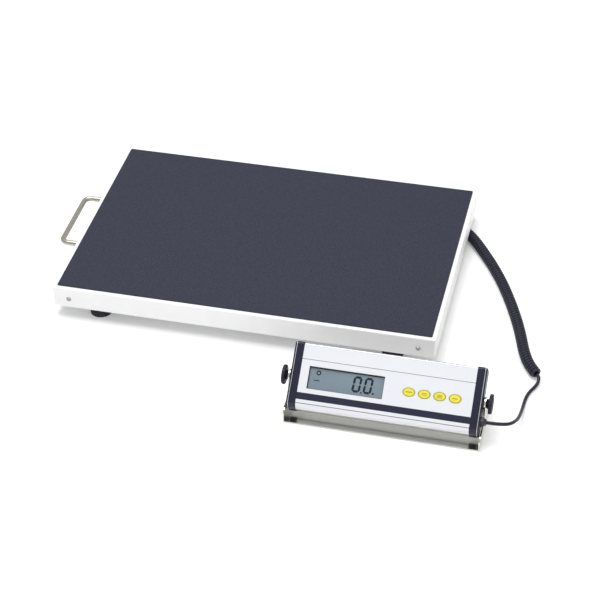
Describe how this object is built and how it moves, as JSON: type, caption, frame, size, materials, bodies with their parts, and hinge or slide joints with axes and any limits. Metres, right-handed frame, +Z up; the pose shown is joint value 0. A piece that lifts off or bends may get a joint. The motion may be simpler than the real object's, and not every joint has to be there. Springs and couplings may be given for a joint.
{
  "type": "animal weighing scale",
  "caption": "Low veterinary platform scale with a rubber mat, a side handle and a tilting indicator on a curly cord.",
  "frame": {"origin": "on the floor, under the middle of the scale's outline seen from above, without its cord", "axes": "+X to the right along the platform's long side, +Y to the back, +Z up; the indicator faces -Y"},
  "size_m": [0.7962, 0.5668, 0.0941],
  "materials": {
    "white_coat": "smooth white powder coat",
    "mat_rubber": "fine pebble texture, matt",
    "screw_steel": "stainless",
    "grey_coat": "powder coat",
    "plain_steel": "zinc plated",
    "handle_steel": "drawn stainless",
    "junction_plastic": "moulded",
    "circuit_board": "solder mask",
    "gland_plastic": "moulded",
    "lead_jacket": "smooth jacket",
    "cord_jacket": "satin jacket",
    "bracket_steel": "brushed stainless sheet",
    "washer_rubber": "matt",
    "case_aluminium": "satin anodised extrusion",
    "cap_plastic": "satin, navy black",
    "label_film": "satin film",
    "clear_window": "clear",
    "bezel_plastic": "moulded",
    "display_panel": "grey liquid crystal panel",
    "switch_plastic": "moulded",
    "standoff_plastic": "moulded",
    "battery_sleeve": "shrink sleeve",
    "insert_brass": "turned",
    "cell_aluminium": "anodised",
    "foot_rubber": "moulded, ribbed",
    "key_film": "domed film",
    "knob_plastic": "moulded, lobed"
  },
  "bodies": {
    "platform": {"deck_cover": "white_coat", "deck_mat": "mat_rubber", "cover_screws": "screw_steel", "frame_tube_front": "grey_coat", "frame_tube_rear": "grey_coat", "end_tube_left": "grey_coat", "end_tube_right": "grey_coat", "mid_tube_left": "grey_coat", "mid_tube_right": "grey_coat", "cell_spacers": "plain_steel", "cell_bolts": "plain_steel", "foot_lock_nuts": "plain_steel", "handle_rod": "handle_steel", "handle_nuts": "plain_steel", "junction_box": "junction_plastic", "junction_lid": "junction_plastic", "junction_board": "circuit_board", "junction_gland": "gland_plastic", "cell_leads": "lead_jacket", "cord_coil": "cord_jacket", "cord_platform_end": "cord_jacket", "cord_indicator_end": "cord_jacket", "bracket": "bracket_steel", "friction_washers": "washer_rubber", "load_cell_front_left": "cell_aluminium", "load_cell_front_right": "cell_aluminium", "load_cell_rear_left": "cell_aluminium", "load_cell_rear_right": "cell_aluminium"},
    "indicator": {"housing": "case_aluminium", "end_cap_left": "cap_plastic", "end_cap_right": "cap_plastic", "face_label": "label_film", "window_lens": "clear_window", "display_bezel": "bezel_plastic", "display_glass": "display_panel", "key_switches": "switch_plastic", "main_board": "circuit_board", "board_standoffs": "standoff_plastic", "battery_tray": "bezel_plastic", "battery_cells": "battery_sleeve", "cap_screws": "screw_steel", "pivot_inserts": "insert_brass", "indicator_gland": "gland_plastic"},
    "foot_front_left": {"foot_pad_front_left": "foot_rubber", "foot_stud_front_left": "plain_steel"},
    "foot_front_right": {"foot_pad_front_right": "foot_rubber", "foot_stud_front_right": "plain_steel"},
    "foot_rear_left": {"foot_pad_rear_left": "foot_rubber", "foot_stud_rear_left": "plain_steel"},
    "foot_rear_right": {"foot_pad_rear_right": "foot_rubber", "foot_stud_rear_right": "plain_steel"},
    "key_1_cap": {"key_1": "key_film"},
    "key_2_cap": {"key_2": "key_film"},
    "key_3_cap": {"key_3": "key_film"},
    "key_4_cap": {"key_4": "key_film"},
    "knob_left_turn": {"knob_left": "knob_plastic", "knob_stud_left": "plain_steel"},
    "knob_right_turn": {"knob_right": "knob_plastic", "knob_stud_right": "plain_steel"}
  },
  "joints": [
    {"name": "indicator_tilt", "type": "hinge", "parent": "platform", "child": "indicator", "pos_m": [0.21645, -0.2378, 0.052], "axis": [1, 0, 0], "range_deg": [-30, 12], "deforming": ["cord_indicator_end"]},
    {"name": "knob_left_turn", "type": "hinge", "parent": "indicator", "child": "knob_left_turn", "pos_m": [0.07045, -0.2378, 0.052], "axis": [1, 0, 0], "range_deg": [-180, 180]},
    {"name": "knob_right_turn", "type": "hinge", "parent": "indicator", "child": "knob_right_turn", "pos_m": [0.36245, -0.2378, 0.052], "axis": [1, 0, 0], "range_deg": [-180, 180]},
    {"name": "key_1_press", "type": "slide", "parent": "indicator", "child": "key_1_cap", "axis": [0, 0.6561, -0.7547], "range_m": [0, 0.0008], "stiffness_N_per_m": 1500},
    {"name": "key_2_press", "type": "slide", "parent": "indicator", "child": "key_2_cap", "axis": [0, 0.6561, -0.7547], "range_m": [0, 0.0008], "stiffness_N_per_m": 1500},
    {"name": "key_3_press", "type": "slide", "parent": "indicator", "child": "key_3_cap", "axis": [0, 0.6561, -0.7547], "range_m": [0, 0.0008], "stiffness_N_per_m": 1500},
    {"name": "key_4_press", "type": "slide", "parent": "indicator", "child": "key_4_cap", "axis": [0, 0.6561, -0.7547], "range_m": [0, 0.0008], "stiffness_N_per_m": 1500},
    {"name": "foot_front_left_turn", "type": "hinge", "parent": "platform", "child": "foot_front_left", "pos_m": [-0.26485, -0.0924, 0], "axis": [0, 0, 1], "range_deg": [-180, 180]},
    {"name": "foot_front_right_turn", "type": "hinge", "parent": "platform", "child": "foot_front_right", "pos_m": [0.19915, -0.0924, 0], "axis": [0, 0, 1], "range_deg": [-180, 180]},
    {"name": "foot_rear_left_turn", "type": "hinge", "parent": "platform", "child": "foot_rear_left", "pos_m": [-0.26485, 0.2556, 0], "axis": [0, 0, 1], "range_deg": [-180, 180]},
    {"name": "foot_rear_right_turn", "type": "hinge", "parent": "platform", "child": "foot_rear_right", "pos_m": [0.19915, 0.2556, 0], "axis": [0, 0, 1], "range_deg": [-180, 180]}
  ]
}
